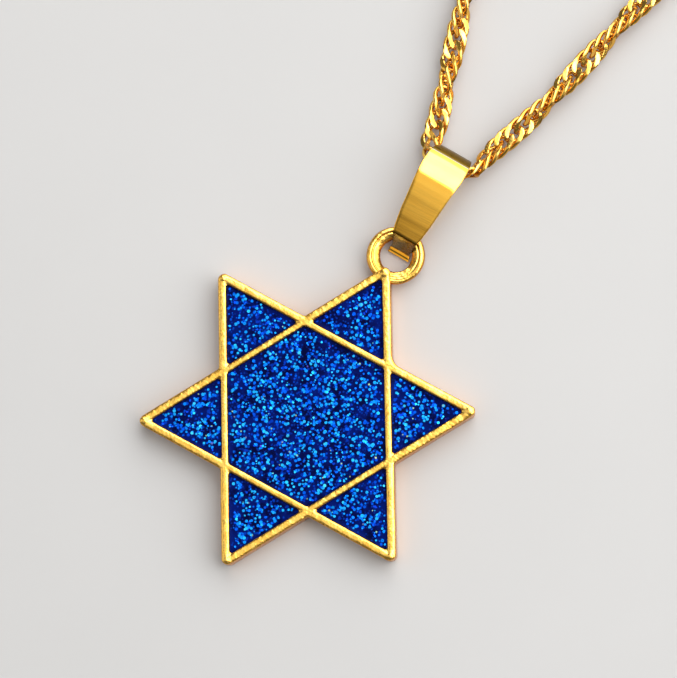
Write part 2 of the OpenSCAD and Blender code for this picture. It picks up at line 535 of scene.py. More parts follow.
@dataclass(frozen=True)
class PolishedGold:
    """Polished gold strip with faint bands across it, fine hairlines, and painted shade in its folds.

    The tone number of a face is 0 on plain strip, and picks the painted shade of the lips, the steep face or
    the far side of the fold at the shares of the shade colours.
    """

    light: tuple = (0.97, 0.55, 0.080)
    deep: tuple = (0.93, 0.50, 0.062)
    # painted shade: deeper orange on the lips, grey-olive on the steep face and dark brown on the fold's far
    # side, at their tone numbers
    painted_shade: tuple = ((0.33, (0.74, 0.33, 0.022)), (0.66, (0.34, 0.38, 0.31)), (1.0, (0.20, 0.115, 0.014)))
    smooth: float = 0.10
    rough: float = 0.20
    dull: float = 0.15            # how much rougher a face in full painted shade is
    painted_shade_from: tuple = (0.0, 0.3)      # tones over which the painted shade takes over from the plain strip
    relief: tuple = (0.35, 0.03)
    # Each noise: how many to a millimetre, finer layers on it, and how each axis is scaled
    bands: tuple = (1.3, 3.0, (0.05, 1.0, 0.05))
    hairs: tuple = (14.0, 2.0, (0.04, 1.0, 0.04))
    clouds: tuple = (0.7, 2.0)
    banded: float = 0.6           # share of the bands in the tone, and the rest is clouds
    hairy: float = 0.5            # share of the hairlines in the roughness, and the rest is clouds
    ribbed: float = 0.8           # share of the bands in the relief, and the rest is hairlines

    def material(self) -> bpy.types.Material:
        """Makes the material.

        Returns:
            The finished material.
        """
        s = Shader("polished_gold")
        bands = s.noise(*self.bands)
        hairs = s.noise(*self.hairs)
        clouds = s.noise(*self.clouds)
        tone = s.mix(bands.blend(clouds, self.banded).ramp(*MEDIUM), self.deep, self.light)
        # the face's tone number, which picks its painted shade
        painted_shade = s.tone()
        shine = hairs.blend(clouds, self.hairy).ramp(*MEDIUM, self.smooth, self.rough)
        colour = s.mix(painted_shade.ramp(*self.painted_shade_from), tone, s.stops(painted_shade, self.painted_shade))
        return s.finish(Base_Color=colour, Metallic=1.0, Roughness=shine + painted_shade * self.dull,
                        Normal=s.bump(bands.blend(hairs, self.ribbed), *self.relief))


@dataclass(frozen=True)
class ChainGold:
    """Bright drawn wire with flattened faces: polished, a little deeper in tone here and there, with painted
    shade in a deeper orange on the links' steep sides.
    """

    light: tuple = (0.97, 0.62, 0.13)
    deep: tuple = (0.90, 0.50, 0.075)
    # painted shade: the deeper orange given to the steep sides of the wire, by their tone number
    flank_shade: tuple = (0.62, 0.27, 0.025)
    smooth: float = 0.12
    rough: float = 0.22
    relief: tuple = (0.25, 0.02)
    # Each noise: how many to a millimetre, and finer layers on it
    patches: tuple = (0.6, 2.0)
    grain: tuple = (8.0, 2.0)

    def material(self) -> bpy.types.Material:
        """Makes the material.

        Returns:
            The finished material.
        """
        s = Shader("chain_gold")
        patches = s.noise(*self.patches)
        grain = s.noise(*self.grain)
        # tone number of painted shade on the steep sides
        side = s.tone()
        face = s.mix(patches.ramp(*CLOSE), self.deep, self.light)
        return s.finish(Base_Color=s.mix(side, face, self.flank_shade), Metallic=1.0,
                        Roughness=grain.ramp(*MEDIUM, self.smooth, self.rough),
                        Normal=s.bump(grain, *self.relief))


@dataclass(frozen=True)
class GlitterEnamel:
    """Navy enamel with dim flakes deep inside it, under a clear top."""

    ink: tuple = (0.0008, 0.0022, 0.036)
    deep: tuple = (0.0010, 0.0085, 0.14)
    mid: tuple = (0.0015, 0.040, 0.42)
    cells_per_mm: tuple = (4.2, 6.5)   # coarse and fine cells, each with a dim flake or none
    flake_edge: tuple = (0.30, 0.48)   # distances from a cell's middle between which its flake fades
    # Random numbers of a cell at which its flake starts to show and is full, and its strength
    coarse_shown: tuple = (0.5, 1.0, 0.0, 0.85)
    fine_shown: tuple = (0.35, 1.0)
    # Each noise: how many to a millimetre, and finer layers on it
    clouds: tuple = (0.8, 2.0)
    swells: tuple = (0.5, 1.0)
    relief: tuple = (0.3, 0.04)
    rough: float = 0.25
    gloss: float = 0.012
    top_gloss: float = 0.01       # weight of the clear top
    top_rough: float = 0.06

    def material(self) -> bpy.types.Material:
        """Makes the material, in which two layers of random cells pick the dim flakes.

        Returns:
            The finished material.
        """
        s = Shader("glitter_enamel")
        cells = []
        for per_mm in self.cells_per_mm:
            node = s.node("ShaderNodeTexVoronoi", {"voronoi_dimensions": "3D", "feature": "F1"},
                          {"Vector": s.place(), "Scale": per_mm / MM})
            pick = s.node("ShaderNodeSeparateColor", {}, {0: node.outputs["Color"]})
            dot = 1 - s.value(node, "Distance").ramp(*self.flake_edge)
            cells.append((dot, s.value(pick)))
        (coarse_dot, coarse_pick), (fine_dot, fine_pick) = cells
        clouds = s.noise(*self.clouds).ramp(*CLOSE)
        base = s.mix(clouds, self.ink, self.deep)
        fine = s.mix(fine_dot * fine_pick.ramp(*self.fine_shown), base, self.deep)
        full = s.mix(coarse_dot * coarse_pick.ramp(*self.coarse_shown), fine, self.mid)
        return s.finish(Base_Color=full, Metallic=0.0, Roughness=self.rough,
                        Specular_IOR_Level=self.gloss, Coat_Weight=self.top_gloss,
                        Coat_Roughness=self.top_rough,
                        Normal=s.bump(s.noise(*self.swells), *self.relief))


@dataclass(frozen=True)
class FlakeFoil:
    """Foil flakes: the tone number of a flake picks deep blue, blue, cyan, green, pale or violet; the bright
    blue and cyan are partly the foil's own colour and partly painted highlight.
    """

    stops: tuple = (
        (0.00, (0.001, 0.014, 0.20)),
        (0.30, (0.001, 0.040, 0.48)),
        (0.52, (0.001, 0.11, 0.86)),
        (0.70, (0.004, 0.27, 1.0)),
        (0.86, (0.02, 0.48, 1.0)),
        (0.925, (0.10, 0.62, 0.70)),
        (0.95, (0.30, 0.55, 0.45)),
        (0.975, (0.30, 0.40, 0.16)),
        (0.99, (0.06, 0.03, 0.42)),
    )
    metal: float = 0.35
    gloss: float = 0.02
    smooth: float = 0.25
    rough: float = 0.40
    grain: tuple = (12.0, 1.0)    # how many to a millimetre, and finer layers on it

    def material(self) -> bpy.types.Material:
        """Makes the material.

        Returns:
            The finished material.
        """
        s = Shader("flake_foil")
        tone = s.tone()
        grain = s.noise(*self.grain)
        return s.finish(Base_Color=s.stops(tone, self.stops), Metallic=self.metal,
                        Roughness=grain.ramp(*MEDIUM, self.smooth, self.rough),
                        Specular_IOR_Level=self.gloss)


@dataclass(frozen=True)
class PaleFloor:
    """Plain pale matt surface under the object."""

    light: tuple = (0.66, 0.652, 0.64)
    dark: tuple = (0.635, 0.628, 0.615)
    clouds: tuple = (0.05, 2.0)   # how many to a millimetre, and finer layers on them
    rough: float = 0.75
    gloss: float = 0.2

    def material(self) -> bpy.types.Material:
        """Makes the material.

        Returns:
            The finished material.
        """
        s = Shader("pale_floor")
        colour = s.mix(s.noise(*self.clouds), self.dark, self.light)
        return s.finish(Base_Color=colour, Roughness=self.rough, Specular_IOR_Level=self.gloss)


# The star


@dataclass
class StarFrame:
    """The casting: crossed ridges round seven cells, rim, back plate and hanging loop."""

    line_r: float = 7.28          # distance of each ridge's middle line from the centre
    top_z: float = 2.0            # top of the ridges
    floor_z: float = 1.0          # floor of the cells
    ridge_half: float = 0.31      # half the width of a ridge between two cells
    rim_out: float = 0.44         # how far the rim stands out from its ridge's middle line
    arch_drop: float = 0.26       # how far a ridge's top falls to its shoulder
    arch_power: float = 3.0       # 2 gives a round top, and more gives a flatter one
    arch_rings: int = 9
    uneven_top: float = 0.020     # how much the crest's height varies
    top_waves: tuple = (1.2, 4.0)     # shortest and longest wave of that height
    uneven_side: float = 0.05     # share by which the fall to the shoulder varies
    side_waves: tuple = (1.5, 4.0)
    tip_swell: float = 0.05       # how much higher the crest is at a tip
    tip_reach: float = 0.9        # how far in from the tip it starts to rise
    tip_round: float = 0.55       # outer radius of the blunted tips
    # Radius of the blob at each tip, from the top one counterclockwise
    blobs_r: tuple = (0.48, 0.34, 0.40, 0.30, 0.34, 0.46)
    blob_high: float = 0.24       # half the height of a blob
    blob_sink: float = 0.13       # how far its middle lies below the ridges' top
    blob_in: float = 0.06         # how far it lies in from the ridges' tip
    blob_grid: tuple = (14, 28)   # rings of a blob, and points round each
    notch_round: float = 0.34     # radius of the webbing outside, where two ridges cross
    burr: float = 1.1             # how much larger the webbing is in the notch right of the top point
    burr_at: float = math.pi / 3  # direction of that notch
    burr_wide: float = 0.25       # how far round it reaches, in radians
    cell_round: float = 0.20      # radius in the corners of a point's cell
    hexagon_round: float = 0.45   # radius in the corners of the hexagon's cell
    # Steps of a cell's wall: how far in from the shoulder, and height
    wall: tuple = ((0.0, 1.59), (0.01, 1.08), (0.05, 1.01), (0.14, 1.0))
    # Steps of the rim's wall down to the back: how far out from the shoulder, and height
    rim_wall: tuple = ((0.0, 1.44), (-0.01, 0.9), (0.0, 0.45), (-0.01, 0.16), (-0.05, 0.05), (-0.14, 0.0))
    floor_shares: tuple = (0.7, 0.35)      # rings across a cell's floor, as shares of its size
    back_shares: tuple = (0.8, 0.5, 0.2)   # the same across the back
    per_side: int = 60            # columns along one length of ridge
    crowd: float = 0.86           # how much closer the columns are near its ends
    sharp: float = 50.0           # angle above which an edge is sharp
    flanks: tuple = (0.88, 0.40)  # upward part of the normal where the painted shade in deeper orange starts and is full
    loop_y: float = 16.4
    loop_z: float = 1.0
    loop_mid_r: float = 2.02
    loop_grid: tuple = (192, 60)  # sections round the loop, and points round each
    # Control points of the loop's section: distance out from its middle line, and height
    loop_section: tuple = ((0.60, 0.0), (0.58, 0.34), (0.46, 0.53), (0.28, 0.58), (0.14, 0.57), (0.05, 0.36),
                           (-0.05, 0.47), (-0.20, 0.37), (-0.39, 0.23), (-0.54, 0.08), (-0.59, -0.14),
                           (-0.54, -0.42), (-0.15, -0.58), (0.30, -0.58), (0.55, -0.36))
    # The same where the loop's top is filed flat
    loop_filed: tuple = ((0.60, 0.0), (0.59, 0.26), (0.52, 0.38), (0.32, 0.42), (0.15, 0.43), (0.03, 0.43),
                         (-0.09, 0.43), (-0.24, 0.43), (-0.42, 0.41), (-0.53, 0.26), (-0.59, -0.05),
                         (-0.54, -0.42), (-0.15, -0.58), (0.30, -0.58), (0.55, -0.36))
    filed_at: float = -52.0       # direction of the filed flat, in degrees
    filed_wide: float = 42.0      # how far round it is full
    filed_soft: float = 1.5       # how many times as far from its middle it is gone
    file_mark: float = 0.012      # depth of the file's marks
    file_close: float = 30.0      # how closely they lie, in radians to a millimetre
    file_sway: float = 2.0        # how far they sway, in radians
    file_over: float = 0.3        # height in the section above which they show
    # Waves round the loop: of the section's size out, share, number of waves and phase
    loop_waves: tuple = ((0.03, 2, 0.4), (0.02, 5, 1.0))
    high_wave: float = 0.02       # the same of its height, as a share, in three waves

    @property
    def tip_r(self) -> float:
        """Distance of a tip of the ridges' middle lines from the centre."""
        return 2 * self.line_r

    def point_middle(self, number: int) -> np.ndarray:
        """Middle of a point's cell, counted from the top one counterclockwise."""
        return self.line_r * 4 / 3 * rays(np.array(math.pi / 2 + number * math.pi / 3))

    def along(self) -> np.ndarray:
        """Shares along one length of ridge, closer near both ends.

        Formula: the share less a sine wave that slows it at both ends.
        """
        u = np.arange(self.per_side) / self.per_side
        return u - self.crowd * np.sin(TAU * u) / TAU

    def polygon(self, corners: np.ndarray) -> np.ndarray:
        """Columns along the sides of a closed polygon, spaced as `along` says.

        Args:
            corners: the polygon's corners.

        Returns:
            The columns' places.
        """
        nxt = np.roll(corners, -1, 0)
        t = self.along()[None, :, None]
        return (corners[:, None] + (nxt - corners)[:, None] * t).reshape(-1, 2)

    @staticmethod
    def cell_radius(angle: np.ndarray, sides: int, apothem: float, corner: float) -> np.ndarray:
        """Distance from a cell's middle to its rounded wall.

        Formula: on a straight side it is the apothem over the cosine of the angle from the
        side's normal. In a corner it is where the ray meets a circle that touches both sides.

        Args:
            angle: angle from the direction of a corner.
            sides: how many sides the cell has.
            apothem: distance of the sides from the middle.
            corner: radius of the corners.

        Returns:
            The distances.
        """
        half = math.pi / sides
        off = np.abs((angle + half) % (2 * half) - half)
        centre = (apothem - corner) / math.cos(half)
        touch = half - np.arctan2(centre * math.sin(half), apothem)
        straight = apothem / np.cos(half - off)
        inside = np.maximum(corner ** 2 - (centre * np.sin(off)) ** 2, 0)
        bent = centre * np.cos(off) + np.sqrt(inside)
        return np.where(off < touch, bent, straight)

    def outline_radius(self, angle: np.ndarray, out: float, tip: float, notch: np.ndarray) -> np.ndarray:
        """Distance from the star's centre to its outline, with blunted tips and webbed notches.

        Formula: the straight sides as for a cell. At a tip the ray meets the far side of a
        circle inside the outline, and at a notch the near side of a circle outside it.

        Args:
            angle: angle from the direction of a tip.
            out: how far the sides stand out from the ridges' middle lines.
            tip: radius of the tips.
            notch: radius of the webbing in the notches.

        Returns:
            The distances.
        """
        sixth, third = math.pi / 6, math.pi / 3
        off = np.abs((angle + sixth) % third - sixth)
        side = self.line_r + out
        straight = side / np.cos(third - off)
        centre = 2 * (side - tip)
        touch = np.arctan2(tip * math.sin(third), centre + tip * math.cos(third))
        bent = centre * np.cos(off) + np.sqrt(np.maximum(tip ** 2 - (centre * np.sin(off)) ** 2, 0))
        far = (side + notch) / math.cos(sixth)
        gap = sixth - off
        meet = np.arctan2(far * math.sin(sixth), side) - sixth
        webbed = far * np.cos(gap) - np.sqrt(np.maximum(notch ** 2 - (far * np.sin(gap)) ** 2, 0))
        return np.where(off < touch, bent, np.where(gap < meet, webbed, straight))

    def arch(self, half: float) -> np.ndarray:
        """Steps from a ridge's middle line to its shoulder.

        Formula: a quarter of a rounded ellipse, as flat on top as its power says.

        Args:
            half: distance from the middle line to the shoulder.

        Returns:
            The distance out and the fall of each step.
        """
        u = np.linspace(0, math.pi / 2, self.arch_rings + 1)
        share = 2 / self.arch_power
        return np.stack([half * np.sin(u) ** share, self.arch_drop * (1 - np.cos(u) ** share)], -1)

    def ridge_top(self, xy: np.ndarray) -> np.ndarray:
        """Height of the ridges' crest: their top, uneven and with a swell at each tip.

        Args:
            xy: points in the plane.

        Returns:
            The heights.
        """
        r = np.linalg.norm(xy, axis=-1)
        swell = self.tip_swell * smooth_step((r - self.tip_r + self.tip_reach) / self.tip_reach)
        return self.top_z + self.uneven_top * unevenness(xy, self.top_waves, 11) + swell

    def shoulder(self, xy: np.ndarray, fall: float, share: float) -> np.ndarray:
        """One ring of a ridge's rounded top.

        Formula: the crest's height less the fall, which varies a little halfway out, and
        less the crest's own unevenness as far as the ring lies out.

        Args:
            xy: the ring's points in the plane.
            fall: how far it lies below the crest.
            share: how far out it lies, from 0 at the crest to 1 at the shoulder.

        Returns:
            The ring's points.
        """
        crest = self.ridge_top(xy)
        vary = 1 + self.uneven_side * unevenness(xy, self.side_waves, 7) * math.sin(math.pi * share)
        return np.column_stack([xy, crest - fall * vary - (crest - self.top_z) * share])

    def cell(self, sides: int, middle: np.ndarray, turn: float, corner: float) -> Surface:
        """One cell: from the crest of its ridges down the wall and across the floor.

        Args:
            sides: how many sides the cell has.
            middle: the cell's middle.
            turn: direction of one of its corners, in radians.
            corner: radius in its corners at the wall.

        Returns:
            The surface.
        """
        apothem = self.line_r if sides == 6 else self.line_r / 3
        reach = apothem / math.cos(math.pi / sides)
        crest = self.polygon(reach * rays(turn + np.arange(sides) * TAU / sides))
        angle = np.arctan2(crest[:, 1], crest[:, 0])
        ray = rays(angle)
        rings = [np.column_stack([crest + middle, self.ridge_top(crest + middle)])]
        for inset, fall in self.arch(self.ridge_half)[1:]:
            share = inset / self.ridge_half
            radius = self.cell_radius(angle - turn, sides, apothem - inset, corner * share)
            rings.append(self.shoulder(ray * radius[:, None] + middle, fall, share))
        for inset, z in self.wall:
            radius = self.cell_radius(angle - turn, sides, apothem - self.ridge_half - inset, corner)
            rings.append(np.column_stack([ray * radius[:, None] + middle, np.full(len(ray), z)]))
        edge, centre = rings[-1], np.array([*middle, 0.0])
        rings += [(edge - centre) * [share, share, 1.0] + centre for share in self.floor_shares]
        return ring_stack(np.array(rings), low_pole=False)

    def outside(self) -> Surface:
        """The rim: from the crest over the shoulder, down the wall and across the back.

        Returns:
            The surface.
        """
        way = math.pi / 2 + np.arange(12) * math.pi / 6
        reach = np.where(np.arange(12) % 2 == 0, self.tip_r, self.line_r / math.cos(math.pi / 6))
        crest = self.polygon(reach[:, None] * rays(way))
        angle = np.arctan2(crest[:, 1], crest[:, 0])
        ray, from_tip = rays(angle), angle - math.pi / 2
        notch = self.notch_round + self.burr * np.exp(-((angle - self.burr_at) / self.burr_wide) ** 2)
        rings = [np.column_stack([crest, self.ridge_top(crest)])]
        for out, fall in self.arch(self.rim_out)[1:]:
            share = out / self.rim_out
            radius = self.outline_radius(from_tip, out, self.tip_round * share, notch * share)
            rings.append(self.shoulder(ray * radius[:, None], fall, share))
        for out, z in self.rim_wall:
            radius = self.outline_radius(from_tip, self.rim_out + out, self.tip_round + out, notch - out)
            rings.append(np.column_stack([ray * radius[:, None], np.full(len(ray), z)]))
        edge = rings[-1]
        rings += [edge * [share, share, 1.0] for share in self.back_shares]
        return ring_stack(np.array(rings), low_pole=False)

    def blobs(self) -> Surface:
        """The small blobs of the casting on the tips.

        Formula: rings of a ball at even steps from its foot to its top, pressed flat.

        Returns:
            The flattened balls as one surface.
        """
        steps, around = self.blob_grid
        t = np.arange(around) * TAU / around
        rise = -np.cos(np.linspace(0, math.pi, steps + 2)[1:-1])[:, None]
        wide = np.sqrt(1 - rise ** 2)
        balls = []
        for k, radius in enumerate(self.blobs_r):
            middle = (self.tip_r - self.blob_in) * rays(np.array(math.pi / 2 + k * math.pi / 3))
            x = middle[0] + radius * wide * np.cos(t)
            y = middle[1] + radius * wide * np.sin(t)
            z = np.broadcast_to(self.top_z - self.blob_sink + self.blob_high * rise, x.shape)
            balls.append(ring_stack(np.stack([x, y, z], -1)))
        return reduce(Surface.joined, balls)

    def loop(self) -> Surface:
        """The hanging loop: an outer band, a groove and an inner bevel, filed flat on one side.

        Formula: a closed spline section carried round a circle, its width and height waving
        a little on the way round. The filed side has another section, with fine file marks.

        Returns:
            The surface.
        """
        around, across = self.loop_grid
        at = np.arange(across) * len(self.loop_section) / across
        plain, filed = (spline(np.vstack([p[-1:], p, p[:2]]), at)
                        for p in (np.array(self.loop_section), np.array(self.loop_filed)))
        t = np.arange(around)[:, None] * TAU / around
        off = (np.degrees(t) - self.filed_at + 180) % 360 - 180
        share = smooth_step(self.filed_soft - np.abs(off) / self.filed_wide)
        section = plain + (filed - plain) * share[..., None]
        wobble = 1 + sum(size * np.sin(waves * t + phase) for size, waves, phase in self.loop_waves)
        out = self.loop_mid_r + section[..., 0] * wobble
        sway = np.sin(3 * t)
        shown = share * (section[..., 1] > self.file_over)
        marks = self.file_mark * np.sin(self.file_close * out + self.file_sway * sway) * shown
        z = self.loop_z + section[..., 1] * (1 + self.high_wave * sway) + marks
        rings = np.stack([out * np.cos(t), self.loop_y + out * np.sin(t), z], -1)
        return Surface(rings.reshape(-1, 3), grid_faces(around, across, close_rows=True).tolist())

    def build(self, gold: bpy.types.Material) -> bpy.types.Object:
        """Makes the casting as one closed piece.

        Args:
            gold: its material.

        Returns:
            The piece.
        """
        body = self.cell(6, np.zeros(2), 0.0, self.hexagon_round)
        for k in range(6):
            way = math.pi / 2 + k * math.pi / 3
            body = body.joined(self.cell(3, self.point_middle(k), way, self.cell_round))
        body = body.joined(self.outside())
        piece = make_piece("star_casting", body, [gold], ["star_frame"], weld=0.002)
        added = [make_piece("loop_for_union", self.loop(), [gold], []),
                 make_piece("blobs_for_union", self.blobs(), [gold], [])]
        for other in added:
            union = piece.modifiers.new(other.name, "BOOLEAN")
            union.operation, union.solver, union.object = "UNION", "EXACT", other
        bpy.context.view_layer.update()
        made = bpy.data.meshes.new_from_object(piece.evaluated_get(bpy.context.evaluated_depsgraph_get()))
        piece.modifiers.clear()
        piece.data = made
        made.name = "star_casting"
        made.polygons.foreach_set("use_smooth", np.ones(len(made.polygons), bool))
        made.set_sharp_from_angle(angle=math.radians(self.sharp))
        # painted shade on the casting's steep faces
        paint_flank_shade(made, *self.flanks)
        for other in added:
            bpy.data.objects.remove(other)
        return piece


# The enamel


@dataclass
class EnamelFill:
    """The fill of one cell: enamel with a small climb at the wall, and foil flakes in its top."""

    star: StarFrame
    sides: int
    middle: np.ndarray
    turn: float
    corner: float
    seed: int
    top_z: float = 1.74
    gap: float = 0.012            # between the fill and its cell's wall
    climb: float = 0.05           # how far the enamel climbs at the wall
    climb_wide: float = 0.16      # how wide that climb is
    wave: float = 0.006           # height of the faint waves in its top
    waves: tuple = (1.5, 4.0)     # shortest and longest of them
    columns: int = 26             # columns along one side
    crowd: float = 0.7            # how much closer they are near the corners
    # Rings of the foot: how far in from the side, and height over the cell's floor
    foot: tuple = ((0.06, 0.02), (0.0, 0.1))
    insets: tuple = (0.0, 0.04, 0.09, 0.16, 0.26, 0.42, 0.65, 1.0, 1.6)   # rings of the top, from the side
    innermost: float = 0.9        # share of the apothem past which these rings stop
    corner_most: float = 0.8      # largest corner radius of a ring, as a share of its apothem
    shares: tuple = (0.75, 0.5, 0.25)      # further rings, as shares of the last one's size
    flakes_per_mm2: float = 13.0
    flake_r: tuple = (0.085, 0.165)        # smallest and largest radius of a flake
    small: tuple = (0.3, 0.35)    # share of the flakes that are smaller, and by what share
    # Where the flakes get fewer at the wall: distance in, over what width, and the share kept
    sparse: tuple = (0.08, 0.45, 0.35)
    clear: tuple = (1.05, 0.02)   # least distance from the wall: times the flake's radius, and more
    tilt: tuple = (7.0, 16.0)     # usual and largest tilt of a flake, in degrees
    lift: tuple = (0.004, 0.022, 0.006)    # least height over the enamel, more by tone, and more by chance
    foil_deep: float = 0.09       # how far a flake's foot reaches down
    # Kinds of flakes, of which the third bright kind is partly painted highlight: share up to which they are
    # drawn, lowest tone, and its spread
    kinds: tuple = ((0.38, 0.05, 0.35), (0.64, 0.42, 0.22), (0.985, 0.65, 0.23), (1.0, 0.92, 0.08))
    odd_size: float = 0.62        # size of the flakes of another colour

    @property
    def apothem(self) -> float:
        """Distance of the enamel's sides from its middle."""
        whole = self.star.line_r if self.sides == 6 else self.star.line_r / 3
        return whole - self.star.ridge_half - self.gap

    def depth_in(self, xy: np.ndarray) -> np.ndarray:
        """Distance from a point to the nearest side of the fill.

        Args:
            xy: points from the fill's middle.

        Returns:
            The distances, less than 0 outside.
        """
        way = rays(self.turn + (np.arange(self.sides) + 0.5) * TAU / self.sides)
        return self.apothem - (xy @ way.T).max(-1)

    def height(self, xy: np.ndarray) -> np.ndarray:
        """Height of the enamel's top: flat, with a soft climb to the wall and faint waves.

        Args:
            xy: points from the fill's middle.

        Returns:
            The heights.
        """
        rise = self.climb * np.exp(-np.maximum(self.depth_in(xy), 0) / self.climb_wide)
        return self.top_z + rise + self.wave * unevenness(xy + self.middle, self.waves, 3)

    def body(self) -> Surface:
        """The enamel as a closed stack of rings from its foot to the middle of its top.

        Returns:
            The surface.
        """
        t = np.arange(self.columns) / self.columns
        t = t - self.crowd * np.sin(TAU * t) / TAU
        corners = rays(self.turn + np.arange(self.sides) * TAU / self.sides)
        nxt = np.roll(corners, -1, 0)
        line = (corners[:, None] + (nxt - corners)[:, None] * t[None, :, None]).reshape(-1, 2)
        angle = np.arctan2(line[:, 1], line[:, 0])
        ray, from_corner = rays(angle), angle - self.turn
        rings = []
        for inset, high in self.foot:
            radius = self.star.cell_radius(from_corner, self.sides, self.apothem - inset, self.corner)
            z = np.full(len(ray), self.star.floor_z + high)
            rings.append(np.column_stack([ray * radius[:, None], z]))
        insets = [inset for inset in self.insets if inset < self.apothem * self.innermost]
        for apothem in self.apothem - np.array(insets):
            corner = min(self.corner, self.corner_most * apothem)
            radius = self.star.cell_radius(from_corner, self.sides, apothem, corner)
            xy = ray * radius[:, None]
            rings.append(np.column_stack([xy, self.height(xy)]))
        last = rings[-1][:, :2]
        rings += [np.column_stack([last * share, self.height(last * share)]) for share in self.shares]
        surface = ring_stack(np.array(rings))
        surface.points = surface.points + [*self.middle, 0.0]
        return surface

    def flakes(self) -> Surface:
        """The foil flakes: small six-sided plates, each with a point below, tilted a little.

        Formula: places are drawn evenly over the fill, and fewer are kept near the wall. A
        flake's corners are a circle in six steps, turned and tilted by random angles.

        Returns:
            The flakes as one surface, with their tones.
        """
        rng = np.random.default_rng(self.seed)
        reach = self.apothem / math.cos(math.pi / self.sides)
        drawn = rng.uniform(-reach, reach, (int(4 * reach * reach * self.flakes_per_mm2), 2))
        inside = self.depth_in(drawn)
        share, less = self.small
        size = rng.uniform(*self.flake_r, len(drawn)) * (1 - less * (rng.uniform(size=len(drawn)) < share))
        start, width, least = self.sparse
        near = smooth_step((inside - start) / width) * (1 - least) + least
        times, more = self.clear
        keep = (inside > size * times + more) & (rng.uniform(size=len(drawn)) < near)
        xy, size = drawn[keep], size[keep]
        n = len(xy)
        tone = self.tones(rng, n)
        size = np.where(tone > self.kinds[-1][1], self.odd_size * size, size)
        usual, most = np.radians(self.tilt)
        tilt = np.abs(rng.normal(0, usual, n)).clip(0, most)
        way, spin = rng.uniform(0, TAU, n), rng.uniform(0, TAU, n)
        normal = np.column_stack([np.sin(tilt)[:, None] * rays(way), np.cos(tilt)])
        first = np.cross(normal, np.array([0.0, 1.0, 0.0]))
        first /= np.linalg.norm(first, axis=1)[:, None]
        second = np.cross(normal, first)
        turn = rays(spin[:, None] + np.arange(6) * TAU / 6)
        least, by_tone, by_chance = self.lift
        lift = least + by_tone * np.clip(tone, 0, 1) + rng.uniform(0, by_chance, n)
        centre = np.column_stack([xy, self.height(xy) + lift])
        ring = centre[:, None] + size[:, None, None] * (turn[..., :1] * first[:, None]
                                                        + turn[..., 1:] * second[:, None])
        points = np.concatenate([ring, (centre - normal * self.foil_deep)[:, None]], 1).reshape(-1, 3)
        base, k = (np.arange(n) * 7)[:, None], np.arange(6)
        cone = np.stack([base + k, base + (k + 1) % 6, np.broadcast_to(base + 6, (n, 6))], -1)
        faces = (base + k[::-1]).tolist() + cone.reshape(-1, 3).tolist()
        return Surface(points + [*self.middle, 0.0], faces, np.concatenate([tone, np.repeat(tone, 6)]))

    def tones(self, rng: np.random.Generator, count: int) -> np.ndarray:
        """Tone numbers of the flakes: many deep, a third bright as partly painted highlight, and a few of
        another colour.

        Args:
            rng: the fill's random numbers.
            count: how many flakes there are.

        Returns:
            The tone of each flake.
        """
        kind, spread = rng.uniform(size=count), rng.uniform(size=count)
        picked = np.searchsorted([share for share, _, _ in self.kinds[:-1]], kind, side="right")
        _, lowest, range_up = np.array(self.kinds)[picked].T
        return lowest + range_up * spread

    def build(self, place: str, enamel: bpy.types.Material, foil: bpy.types.Material) -> bpy.types.Object:
        """Makes the fill with its flakes as one piece.

        Args:
            place: the fill's place, which ends the name of its piece and of its solid.
            enamel: material of the fill.
            foil: material of the flakes.

        Returns:
            The piece.
        """
        body, flakes = self.body(), self.flakes()
        both = body.joined(flakes)
        both.tones = np.concatenate([np.zeros(len(body.faces)), flakes.tones])
        both.slots = np.concatenate([np.zeros(len(body.faces)), np.ones(len(flakes.faces))])
        return make_piece(f"fill_{place}", both, [enamel, foil], [f"enamel_{place}"],
                          sharp=35, weld=0.0)


# The bail


